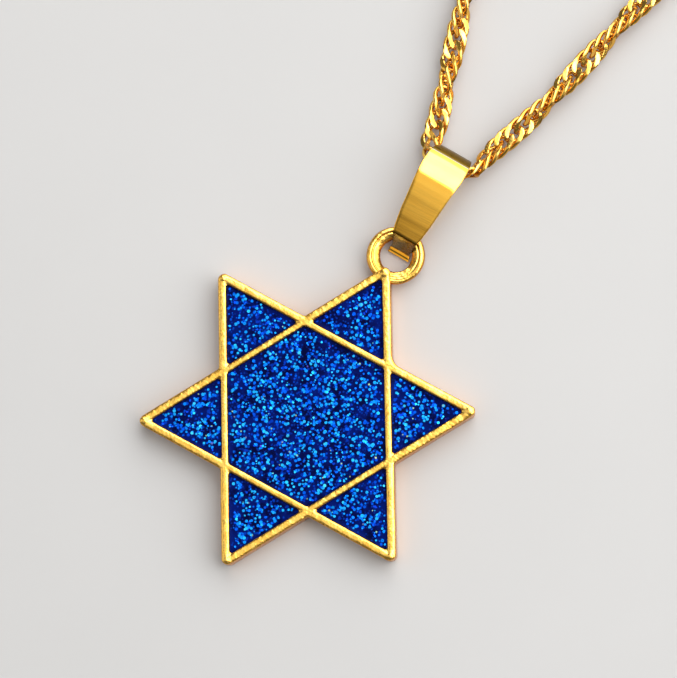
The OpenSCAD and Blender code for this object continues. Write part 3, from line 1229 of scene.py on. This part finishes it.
@dataclass
class Bail:
    """The folded strap: front leg, fold round the chain, back leg, and the two lips at its low end."""

    low: tuple = (0.07, 16.5)     # middle of its low end
    turn: float = 2.08            # degrees that it is turned to the right about its low end
    thick: float = 0.36
    lip_thin: float = 0.4         # share of the thickness that is pressed away at the low end
    edge: float = 0.07            # size of the worn edges
    crown: float = 0.01           # how far the middle of a face stands above its edges
    dent: float = 0.002           # depth of the faint creases across the front leg
    # The strap's middle line in side view: distance along the bail, height, and the radius
    # of the bend there
    corners: tuple = ((0.27, 0.60, 0.0), (0.52, 0.63, 0.08), (1.64, 2.27, 0.20), (4.2, 3.0, 45.0),
                      (6.3, 3.50, 9.0), (7.08, 3.62, 1.6), (10.27, 3.12, 1.50), (10.27, 0.21, 1.45),
                      (0.9, 0.21, 3.0), (0.03, 0.16, 0.0))
    line_points: int = 360
    arc_step: float = 3.0         # largest turn between two points of an arc, in degrees
    edge_steps: int = 4           # points across each worn edge
    face_steps: int = 11          # points across each face, its two ends among them
    # Half the strap's width at distances along the bail
    widths: tuple = ((0.0, 1.08), (0.3, 1.02), (0.55, 0.95), (0.8, 0.94), (1.1, 1.01), (1.4, 1.15),
                     (1.7, 1.27), (2.05, 1.36), (2.6, 1.44), (3.5, 1.58), (4.9, 1.71), (6.2, 1.84),
                     (7.2, 1.94), (8.2, 2.03), (9.4, 1.95), (10.45, 1.78))
    # Points on which the widths are smoothed: length, how many, and neighbours on each side
    smooth_over: tuple = (11.0, 221, 5)
    front_share: float = 0.48     # share of the line's run that the front leg takes
    back_in: float = 0.55         # how much the back leg is narrower at each side, at the fold
    narrow_from: float = 0.45     # share of the line's run where it starts to be narrower
    narrow_over: float = 0.12     # share of the run over which it does
    # Where the back leg starts to be narrower at the low end, and over what length
    narrow_low: tuple = (0.4, 1.3)
    # The creases: distance along the bail, width, and share of the depth
    dents: tuple = ((2.75, 0.30, 1.0), (4.7, 0.45, 0.7), (8.3, 0.30, 0.5))
    thin_low: tuple = (1.7, 0.9)  # where the strap starts to be pressed thinner, and over what length
    lips: tuple = (0.46, 0.33)    # where the lips end, and the tone of their painted shade
    steep: tuple = (1.45, 0.66)   # where the steep face with painted shade ends, and its tone
    crease: float = 1.60          # where the painted dark shade in the crease above it ends
    slit: tuple = (0.14, 0.26)    # where painted shadow shows the slit between the lips
    # Where painted shade starts to darken the strap towards the low end, over what length, and to what tone
    leg: tuple = (5.6, 3.4, 0.12)
    fold: tuple = (9.42, 0.24)    # where the painted shade on the far side of the fold starts, and over what length

    def side_line(self) -> np.ndarray:
        """The strap's middle line in side view, as evenly spaced points.

        Formula: straight legs joined by arcs that touch both legs at each corner.

        Returns:
            For each point its distance along the bail and its height.
        """
        p = np.array([c[:2] for c in self.corners])
        r = [c[2] for c in self.corners]
        line = [p[0][None]]
        for k in range(1, len(p) - 1):
            a, b = p[k - 1] - p[k], p[k + 1] - p[k]
            a, b = a / np.linalg.norm(a), b / np.linalg.norm(b)
            half = math.acos(np.clip(a @ b, -1, 1)) / 2
            back = r[k] / math.tan(half)
            middle = p[k] + (a + b) / np.linalg.norm(a + b) * (r[k] / math.sin(half))
            one, two = p[k] + a * back - middle, p[k] + b * back - middle
            turn = math.atan2(one[0] * two[1] - one[1] * two[0], one @ two)
            t = np.linspace(0, turn, 2 + int(abs(turn) / math.radians(self.arc_step)))
            line.append(middle + np.stack([one[0] * np.cos(t) - one[1] * np.sin(t),
                                           one[0] * np.sin(t) + one[1] * np.cos(t)], -1))
        line = np.vstack(line + [p[-1][None]])
        run = np.r_[0, np.cumsum(np.linalg.norm(np.diff(line, axis=0), axis=1))]
        at = np.linspace(0, run[-1], self.line_points)
        return np.stack([np.interp(at, run, line[:, 0]), np.interp(at, run, line[:, 1])], -1)

    def section(self) -> np.ndarray:
        """The strap's section: a flat rectangle with rounded edges.

        Formula: each corner is a quarter circle, and the faces have evenly spaced points.

        Returns:
            For each point its share of half the width, its distance in from the edge, and
            its height above the middle line.
        """
        bend = np.linspace(0, math.pi / 2, self.edge_steps)
        share = np.linspace(-1, 1, self.face_steps)[1:-1]
        high = self.thick / 2
        corner = np.column_stack([np.full(self.edge_steps, -1.0), self.edge * (1 - np.sin(bend)),
                                  high - self.edge * (1 - np.cos(bend))])
        face = np.column_stack([share, 0 * share, 0 * share + high])
        return np.vstack([face[::-1], corner, corner[::-1] * [1, 1, -1], face * [1, 1, -1],
                          corner * [-1, -1, -1], corner[::-1] * [-1, -1, 1]])

    def half_wide(self, along: np.ndarray, run: np.ndarray) -> np.ndarray:
        """Half the strap's width.

        Formula: straight between the known widths, smoothed by a running mean, and less on
        the back leg by a soft ramp.

        Args:
            along: distances along the bail.
            run: the same places as shares of the side line's run.

        Returns:
            The half widths.
        """
        length, points, reach = self.smooth_over
        fine = np.linspace(0, length, points)
        soft = running_mean(np.interp(fine, *np.array(self.widths).T), reach)
        low, over = self.narrow_low
        narrow = smooth_step((run - self.narrow_from) / self.narrow_over)
        narrow = narrow * smooth_step((along - low) / over)
        return np.interp(along, fine, soft) - self.back_in * narrow

    def tones(self, along: np.ndarray, front: np.ndarray) -> np.ndarray:
        """Tone numbers of the strap's faces, which pick their painted shade.

        Args:
            along: distance of each face along the bail.
            front: whether it is on the front leg.

        Returns:
            The tones.
        """
        (lips_end, lips), (steep_end, steep), (leg_from, leg_over, dull) = self.lips, self.steep, self.leg
        fold_from, fold_over = self.fold
        # painted shade: darker towards the low end, and on the lips, steep face, crease, slit and fold's far
        # side
        tone = dull * smooth_step((leg_from - along) / leg_over)
        tone = np.where(along < lips_end, lips, tone)
        tone = np.where(front & (along > lips_end) & (along < steep_end), steep, tone)
        dark = front & (along > steep_end) & (along < self.crease)
        dark |= ~front & (along > self.slit[0]) & (along < self.slit[1])
        return np.where(dark, 1.0, np.maximum(tone, smooth_step((along - fold_from) / fold_over)))

    def build(self, gold: bpy.types.Material) -> bpy.types.Object:
        """Makes the strap: its flat section carried along the side line.

        Formula: each section stands square to the line, as wide as the bail is there. The
        front leg has faint creases, each a bell-shaped dip along the line.

        Args:
            gold: its material.

        Returns:
            The piece.
        """
        line = self.side_line()
        ahead = np.gradient(line, axis=0)
        ahead /= np.linalg.norm(ahead, axis=1)[:, None]
        out = np.stack([-ahead[:, 1], ahead[:, 0]], -1)
        along, run = line[:, 0], np.linspace(0, 1, len(line))
        front = run < self.front_share
        wide = self.half_wide(along, run)
        dip = sum(depth * np.exp(-((along - at) / size) ** 2) for at, size, depth in self.dents)
        line = line - out * (self.dent * dip * front)[:, None]
        low, over = self.thin_low
        thin = 1 - self.lip_thin * smooth_step((low - along) / over)
        share, inset, lift = self.section().T
        rise = self.crown * (1 - share ** 2) * np.sign(lift) + lift
        x = share[None, :] * wide[:, None] + inset[None, :]
        side = line[:, None] + out[:, None] * (thin[:, None] * rise[None, :])[..., None]
        surface = ring_stack(np.stack([x, side[..., 0], side[..., 1]], -1))
        middles = np.array([surface.points[f].mean(0)[1] for f in surface.faces])
        ends = len(surface.faces) - (len(line) - 1) * len(share)
        surface.tones = self.tones(middles, np.r_[np.repeat(front[:-1], len(share)), np.zeros(ends, bool)])
        turn = math.radians(self.turn)
        turned = [[math.cos(turn), -math.sin(turn), 0], [math.sin(turn), math.cos(turn), 0], [0, 0, 1]]
        surface.points = surface.points @ np.array(turned) + [*self.low, 0.0]
        return make_piece("bail_strap", surface, [gold], ["bail"], sharp=60)


# The chain


@dataclass
class Chain:
    """The fine twisted chain: interlocked links along its route through the bail and round."""

    pitch: float = 1.06           # distance from link to link
    half_long: float = 1.325      # half the length of a link's middle line
    half_wide: float = 0.81       # half its width
    wire: float = 0.445           # thickness of the wire
    lean: float = -44.0           # turn of each end of a link about the chain, in degrees
    face: float = 0.35            # height of the flattened faces above a link's middle
    power: float = 2.7            # 2 gives a round link, and more gives straighter sides
    flanks: tuple = (0.85, 0.10)  # upward part of the normal where the painted shade in deeper orange starts and is full
    end_in: float = 0.44          # how far the first and last links lie in from the route's ends
    tunnel: tuple = (0.4066, 25.7832, 1.75)     # middle of the chain inside the bail's fold
    radius: float = 1.05          # height of the chain's middle where it lies on the surface
    far_y: float = 177.5          # distance of the chain's ends beyond the tunnel
    end_x: float = 6.76           # how far to each side they lie
    # Points of the route, from the tunnel: the left strand, through the fold, the right one
    left: tuple = ((-20, 175.5), (-33, 169), (-44.5, 158), (-53, 144), (-56.5, 127.5), (-56, 111),
                   (-51, 94.5), (-43, 79), (-33.2, 64.2), (-23.8, 50.6), (-16.4, 38), (-11.2, 28.5),
                   (-8.1, 20), (-6.35, 14.5), (-4.85, 9.5), (-3.5, 4.9), (-2.9, 2.9), (-2.7, 1.8))
    fold: tuple = ((-2.62, 1.2, -0.5), (-2.1, 0.24, -0.35), (-1.15, -0.28, -0.1), (0, -0.2, -0.05),
                   (1.2, -0.2, -0.1), (2.0, 0.38, -0.35), (2.4, 1.25, -0.55))
    right: tuple = ((2.5, 1.9), (2.75, 3.1), (4.2, 6.7), (5.6, 11.5), (6.9, 17), (8.7, 23.5), (12.2, 31.5),
                    (18.2, 42), (26.8, 54.7), (36.9, 68.8), (46, 83.5), (53, 98.5), (56.5, 115),
                    (55.5, 131.5), (51, 147), (42, 161), (30.5, 170.8), (18, 176.5))
    # Turn of the links about the chain, in degrees, at distances from the middle of the bail
    twist: tuple = ((-24.2, -450), (-19.9, -360), (-16.0, -270), (-11.9, -180), (-8.7, -90), (-5.9, -12),
                    (-3.7, 2), (-2.9, 60), (-2.1, 75), (0.2, 82), (3.0, 95), (6.5, 180), (11.6, 270),
                    (15.2, 360), (20.0, 450), (24.0, 540))
    far_twist: float = 21.0       # degrees for each millimetre further along
    line_points: int = 24001      # close points of the whole route
    twist_points: int = 8001      # places on which the twist is smoothed
    twist_reach: int = 36         # how many of them on each side it is smoothed over
    ring_points: int = 720        # close points of a link's middle line
    aside: float = 0.4            # distance on each side over which the route's direction is taken
    near_grid: tuple = (40, 12)   # sections round a near link, and points round its wire
    far_grid: tuple = (14, 4)     # the same for the links further away
    near_reach: float = 32.0      # links nearer to the bail than this are made finer
    far_size: float = 0.97        # share of the full size of the links further away
    fold_reach: float = 3.3       # links nearer to the bail's middle than this lie in its fold
    fold_size: float = 0.93       # share of their full size

    def line(self) -> tuple:
        """The route as close points, with the distance along it.

        Formula: a uniform cubic B-spline through the route's points, run out past both ends.

        Returns:
            Points, distances along the line, and the distance of the middle of the bail.
        """
        tx, ty, tz = self.tunnel
        p = np.array([(-self.end_x, ty + self.far_y, self.radius)]
                     + [(tx + x, ty + y, self.radius) for x, y in self.left]
                     + [(tx + x, ty + y, tz + z) for x, y, z in self.fold]
                     + [(tx + x, ty + y, self.radius) for x, y in self.right]
                     + [(self.end_x, ty + self.far_y, self.radius)])
        q = np.vstack([2 * p[0] - p[1], p, 2 * p[-1] - p[-2]])
        curve = spline(q, np.linspace(0, len(p) - 1, self.line_points))
        run = np.r_[0, np.cumsum(np.linalg.norm(np.diff(curve, axis=0), axis=1))]
        middle = np.argmin(np.hypot(curve[:, 0] - tx, curve[:, 1] - ty))
        return curve, run, run[middle]

    def turn_at(self, run: np.ndarray, ends: tuple) -> np.ndarray:
        """Turn of the links about the chain at distances from the bail's middle, in radians.

        Formula: straight between the known turns and at an even rate beyond them, so set
        that the last link at each end stands upright, then smoothed by a running mean.

        Args:
            run: the distances.
            ends: distances of the first and last link.

        Returns:
            The turns.
        """
        at, turn = np.array(self.twist, float).T
        for side in (0, -1):
            reach = ends[side] - at[side]
            whole = turn[side] + self.far_twist * reach
            upright = 90 + (self.lean if side == 0 else -self.lean)
            upright += 180 * round((whole - upright) / 180)
            at = np.r_[ends[side], at] if side == 0 else np.r_[at, ends[side]]
            turn = np.r_[upright, turn] if side == 0 else np.r_[turn, upright]
        fine = np.linspace(ends[0], ends[1], self.twist_points)
        soft = running_mean(np.interp(fine, at, turn), self.twist_reach)
        return np.radians(np.interp(run, fine, soft))

    def link(self, around: int, across: int) -> np.ndarray:
        """One link about its own middle: its length along x, and its faces towards z.

        Formula: a rounded ring whose points are turned about x in proportion to x. The
        wire's section is carried along it, and the faces are then pressed flat.

        Args:
            around: sections round the ring.
            across: points round the wire.

        Returns:
            Array of around x across x 3 points.
        """
        t = np.arange(around) * TAU / around + 0.5 * TAU / around
        fine = np.linspace(0, TAU, self.ring_points + 1)[:-1]
        c, s = np.cos(fine), np.sin(fine)
        r = (np.abs(c) ** self.power + np.abs(s) ** self.power) ** (-1 / self.power)
        x, w = self.half_long * r * c, self.half_wide * r * s
        turn = math.radians(self.lean) * x / self.half_long
        loop = np.stack([x, w * np.cos(turn), w * np.sin(turn)], -1)
        ahead = np.roll(loop, -1, 0) - np.roll(loop, 1, 0)
        ahead /= np.linalg.norm(ahead, axis=1)[:, None]
        pick = (t / TAU * self.ring_points).round().astype(int) % self.ring_points
        loop, ahead = loop[pick], ahead[pick]
        out = loop - (loop * ahead).sum(1)[:, None] * ahead
        out /= np.linalg.norm(out, axis=1)[:, None]
        side = np.cross(ahead, out)
        a = np.arange(across) * TAU / across + 0.5 * TAU / across
        wire = self.wire / 2
        tube = loop[:, None] + wire * (np.cos(a)[None, :, None] * out[:, None]
                                       + np.sin(a)[None, :, None] * side[:, None])
        tube[..., 2] = np.clip(tube[..., 2], -self.face, self.face)
        return tube

    def links(self, places: np.ndarray, curve: np.ndarray, run: np.ndarray, turn: np.ndarray,
              size: np.ndarray, grid: tuple) -> Surface:
        """Links at distances along the route.

        Args:
            places: the distances.
            curve: the route's points.
            run: their distances.
            turn: turn of each link about the chain.
            size: share of the full size of each link.
            grid: sections round each ring, and points round its wire.

        Returns:
            All the links as one surface.
        """
        before, centre, after = (np.stack([np.interp(places + step, run, axis) for axis in curve.T], -1)
                                 for step in (-self.aside, 0.0, self.aside))
        ahead = after - before
        ahead /= np.linalg.norm(ahead, axis=1)[:, None]
        side = np.cross(np.array([0.0, 0.0, 1.0]), ahead)
        side /= np.linalg.norm(side, axis=1)[:, None]
        up = np.cross(ahead, side)
        c, s = np.cos(turn)[:, None], np.sin(turn)[:, None]
        wide, high = c * side + s * up, c * up - s * side
        axes = np.stack([ahead, wide, high], 1) * size[:, None, None]
        points = np.einsum("abi,nij->nabj", self.link(*grid), axes) + centre[:, None, None]
        one = grid_faces(*grid, close_rows=True)
        faces = (one[None] + (np.arange(len(places)) * grid[0] * grid[1])[:, None, None]).reshape(-1, 4)
        return Surface(points.reshape(-1, 3), faces.tolist())

    def build(self, gold: bpy.types.Material) -> list:
        """Makes the links: fine ones near the bail and plainer ones on the two far stretches.

        Args:
            gold: their material.

        Returns:
            The three pieces.
        """
        curve, run, middle = self.line()
        reach = run[-1] - 2 * self.end_in
        places = np.linspace(self.end_in, run[-1] - self.end_in, round(reach / self.pitch) + 1)
        away = places - middle
        turn = self.turn_at(away, (away[0], away[-1]))
        log.info("chain: %.1f mm, %d links", run[-1], len(places))
        near = np.abs(away) < self.near_reach
        size = np.where(near, 1.0, self.far_size)
        size[np.abs(away) < self.fold_reach] = self.fold_size
        parts = [("near", near, self.near_grid), ("left", ~near & (away < 0), self.far_grid),
                 ("right", ~near & (away > 0), self.far_grid)]
        return [make_piece(f"chain_links_{part}",
                           self.links(places[pick], curve, run, turn[pick], size[pick], grid),
                           [gold], ["chain"], sharp=38, weld=0.0, flanks=self.flanks)
                for part, pick, grid in parts]


@dataclass
class Clasp:
    """The plain closed barrel that joins the chain's ends, with an eye and a tie ring at each end."""

    y: float = 203.283
    z: float = 1.2
    length: float = 8.0
    radius: float = 1.195
    around: int = 56              # points round the barrel
    # Steps of each end: distance in from the end, and radius
    end: tuple = ((0.0, 0.30), (0.0, 0.62), (0.06, 0.72), (0.30, 0.80), (0.42, 0.80), (0.50, 0.90))
    # Steps of the collar and its groove: distance in from the end, and how far below the full radius
    collar: tuple = ((0.62, 0.04), (0.72, 0.0), (1.05, 0.0), (1.13, 0.03), (1.17, 0.10), (1.23, 0.10),
                     (1.27, 0.03), (1.40, 0.01))
    # The fine joint line in the middle: distance from it, and how far below the full radius
    joint: tuple = ((0.07, 0.0), (0.04, 0.02), (0.02, 0.07))
    # upward part of the normal where the painted shade starts and is full, down to the underside
    flanks: tuple = (0.5, -0.6)
    eye_x: float = 4.61
    eye_r: float = 0.75
    eye_wire: float = 0.56
    tie_x: float = 5.51
    tie_r: float = 0.9
    tie_wire: float = 0.40
    # the same painted shade for the tie rings
    tie_flanks: tuple = (0.85, 0.10)

    def barrel(self) -> Surface:
        """The barrel: a side view turned about its axis, with collars and a fine joint line.

        Returns:
            The surface.
        """
        half, full = self.length / 2, self.radius
        side = [(x - half, r) for x, r in self.end] + [(x - half, full - less) for x, less in self.collar]
        side += [(-x, full - less) for x, less in self.joint]
        side = np.array(side + [(-x, r) for x, r in side[::-1]])
        ray = rays(np.arange(self.around) * TAU / self.around)
        rings = [np.broadcast_to(side[:, 0:1], (len(side), self.around)),
                 self.y + side[:, 1:2] * ray[:, 0], self.z + side[:, 1:2] * ray[:, 1]]
        return ring_stack(np.stack(rings, -1))

    def build(self, gold: bpy.types.Material) -> list:
        """Makes the clasp with its two eyes, and the two tie rings.

        Args:
            gold: their material.

        Returns:
            The three pieces.
        """
        eyes = [wire_ring((x, self.y, self.z), self.eye_r, self.eye_wire, True)
                for x in (-self.eye_x, self.eye_x)]
        clasp = reduce(Surface.joined, [self.barrel(), *eyes])
        pieces = [make_piece("clasp_barrel", clasp, [gold], ["clasp"],
                             sharp=30, flanks=self.flanks)]
        for side, x in (("left", -self.tie_x), ("right", self.tie_x)):
            ring = wire_ring((x, self.y, self.z), self.tie_r, self.tie_wire, False)
            pieces.append(make_piece(f"tie_ring_{side}", ring, [gold], [f"end_ring_{side}"],
                                     flanks=self.tie_flanks))
        return pieces


def wire_ring(middle: tuple, radius: float, wire: float, upright: bool) -> Surface:
    """A closed ring of round wire.

    Formula: a circle of wire carried round a larger circle.

    Args:
        middle: the ring's middle.
        radius: radius of the wire's middle line.
        wire: the wire's thickness.
        upright: whether the ring stands along X and Z, and not flat along X and Y.

    Returns:
        The surface.
    """
    around, across = 48, 14
    t = np.arange(around)[:, None] * TAU / around
    a = np.arange(across)[None, :] * TAU / across
    out = radius + wire / 2 * np.cos(a)
    lift = np.broadcast_to(wire / 2 * np.sin(a), (around, across))
    first, second = out * np.cos(t), out * np.sin(t)
    axes = (first, lift, second) if upright else (first, second, lift)
    points = np.stack(axes, -1).reshape(-1, 3) + np.array(middle)
    return Surface(points, grid_faces(around, across, close_rows=True).tolist())


# The studio


class Seen(Enum):
    """What a light does: light and reflection, light alone, or reflection alone."""

    WHOLE = "whole"
    SOFT = "soft"
    GLINT = "glint"


@dataclass
class Light:
    """A square soft light that faces a point, as bright as its radiance says."""

    name: str
    way: tuple
    distance: float
    size: tuple
    radiance: float
    colour: tuple = (1.0, 1.0, 1.0)
    target: tuple = (0.0, 0.01, 0.0)
    seen: Seen = Seen.WHOLE

    def build(self) -> None:
        """Adds the light: its power is its radiance times pi times its area."""
        data = bpy.data.lights.new(self.name, "AREA")
        data.shape = "RECTANGLE"
        data.size, data.size_y = self.size
        data.energy = self.radiance * math.pi * self.size[0] * self.size[1]
        data.color = self.colour
        lamp = bpy.data.objects.new(self.name, data)
        bpy.context.scene.collection.objects.link(lamp)
        way = Vector(self.way).normalized()
        lamp.location = Vector(self.target) + way * self.distance
        lamp.rotation_euler = way.to_track_quat("Z", "Y").to_euler()
        lamp.visible_glossy = self.seen is not Seen.SOFT
        lamp.visible_diffuse = self.seen is not Seen.GLINT


@dataclass
class Studio:
    """Floor, lights and the camera at the photograph's angle."""

    azimuth: float = 65.911
    elevation: float = 80.313
    roll: float = 37.346
    distance: float = 249.431
    shift: tuple = (-2.68114, -7.04376)
    focal_px: float = 2800.0
    frame_wide_px: float = 677.0
    sensor_mm: float = 36.0
    clip: tuple = (0.001, 10.0)   # nearest and furthest that is seen, in metres
    floor_half: float = 1.5       # half the floor's width, in metres
    floor_z: float = -0.00003     # its height, just under the part
    # Sine of the height at which the sky starts and ends to brighten, and its strengths there
    sky_heights: tuple = (0.84, 0.965)
    sky_strengths: tuple = (0.13, 1.03)
    sky_colour: tuple = (1.0, 0.99, 0.98, 1.0)
    lights: list = field(default_factory=lambda: [
        Light("softbox", (0.45, 0.89, 0.92), 0.42, (1.20, 0.48), 2.5),
        Light("softbox_edge", (0.45, 0.89, 4.5), 0.41, (1.20, 0.10), 1.35, seen=Seen.GLINT),
        Light("side_card", (-1.0, -0.5, 0.8), 0.45, (0.30, 0.30), 0.9),
        Light("floor_fill", (0.0, 0.0, 1.0), 0.6, (0.8, 0.8), 0.09, seen=Seen.SOFT),
        Light("softbox_core", (0.45, 0.89, 2.25), 0.40, (0.9, 0.14), 3.7, (1.0, 1.0, 1.3), seen=Seen.GLINT),
    ])

    def camera(self) -> bpy.types.Object:
        """Adds the camera.

        Formula: it looks back along the direction of its azimuth and elevation, rolled
        about that line, and is moved sideways so that the part falls as in the frame.

        Returns:
            The camera.
        """
        az, el, roll = (math.radians(v) for v in (self.azimuth, self.elevation, self.roll))
        back = Vector((math.sin(az) * math.cos(el), -math.cos(az) * math.cos(el), math.sin(el)))
        right = Vector((math.cos(az), math.sin(az), 0))
        up = back.cross(right)
        turned_right = right * math.cos(roll) - up * math.sin(roll)
        turned_up = right * math.sin(roll) + up * math.cos(roll)
        place = back * self.distance - turned_right * self.shift[0] - turned_up * self.shift[1]
        data = bpy.data.cameras.new("camera")
        data.sensor_fit = "HORIZONTAL"
        data.sensor_width = self.sensor_mm
        data.lens = self.sensor_mm * self.focal_px / self.frame_wide_px
        data.clip_start, data.clip_end = self.clip
        camera = bpy.data.objects.new("camera", data)
        turn = Matrix((turned_right, turned_up, back)).transposed().to_4x4()
        camera.matrix_world = Matrix.Translation(place * MM) @ turn
        bpy.context.scene.collection.objects.link(camera)
        bpy.context.scene.camera = camera
        return camera

    def floor(self) -> None:
        """Adds the pale floor just under the part."""
        half, z = self.floor_half, self.floor_z
        corners = [(-half, -half, z), (half, -half, z), (half, half, z), (-half, half, z)]
        mesh = bpy.data.meshes.new("floor")
        mesh.from_pydata(corners, [], [(0, 1, 2, 3)])
        mesh.materials.append(PaleFloor().material())
        floor = bpy.data.objects.new("floor", mesh)
        bpy.context.scene.collection.objects.link(floor)

    def world(self) -> None:
        """Sets the room: dim towards the horizon and bright overhead, by a soft ramp."""
        world = bpy.data.worlds.new("room")
        world.use_nodes = True
        tree = world.node_tree
        way = tree.nodes.new("ShaderNodeTexCoord")
        split = tree.nodes.new("ShaderNodeSeparateXYZ")
        ramp = tree.nodes.new("ShaderNodeMapRange")
        ramp.interpolation_type = "SMOOTHSTEP"
        for number, value in enumerate((*self.sky_heights, *self.sky_strengths), 1):
            ramp.inputs[number].default_value = value
        tree.links.new(way.outputs["Generated"], split.inputs[0])
        tree.links.new(split.outputs[2], ramp.inputs[0])
        tree.links.new(ramp.outputs[0], tree.nodes["Background"].inputs[1])
        tree.nodes["Background"].inputs[0].default_value = self.sky_colour
        bpy.context.scene.world = world

    def build(self) -> None:
        """Sets up the whole studio."""
        self.camera()
        self.floor()
        self.world()
        for light in self.lights:
            light.build()
        bpy.context.scene.view_settings.view_transform = "Standard"


def main() -> None:
    """Builds the studio and then each sub-assembly, and reports it."""
    logging.basicConfig(level=logging.INFO, format="%(message)s")
    Studio().build()
    cast, strip, wire = CastGold().material(), PolishedGold().material(), ChainGold().material()
    enamel, foil = GlitterEnamel().material(), FlakeFoil().material()
    star = StarFrame()
    star.build(cast)
    EnamelFill(star, 6, np.zeros(2), 0.0, star.hexagon_round, 20).build("hexagon", enamel, foil)
    for k in range(6):
        way = math.pi / 2 + k * math.pi / 3
        fill = EnamelFill(star, 3, star.point_middle(k), way, star.cell_round, 21 + k)
        fill.build(f"point_{k + 1}", enamel, foil)
    Bail().build(strip)
    Chain().build(wire)
    Clasp().build(wire)


if __name__ == "__main__":
    main()
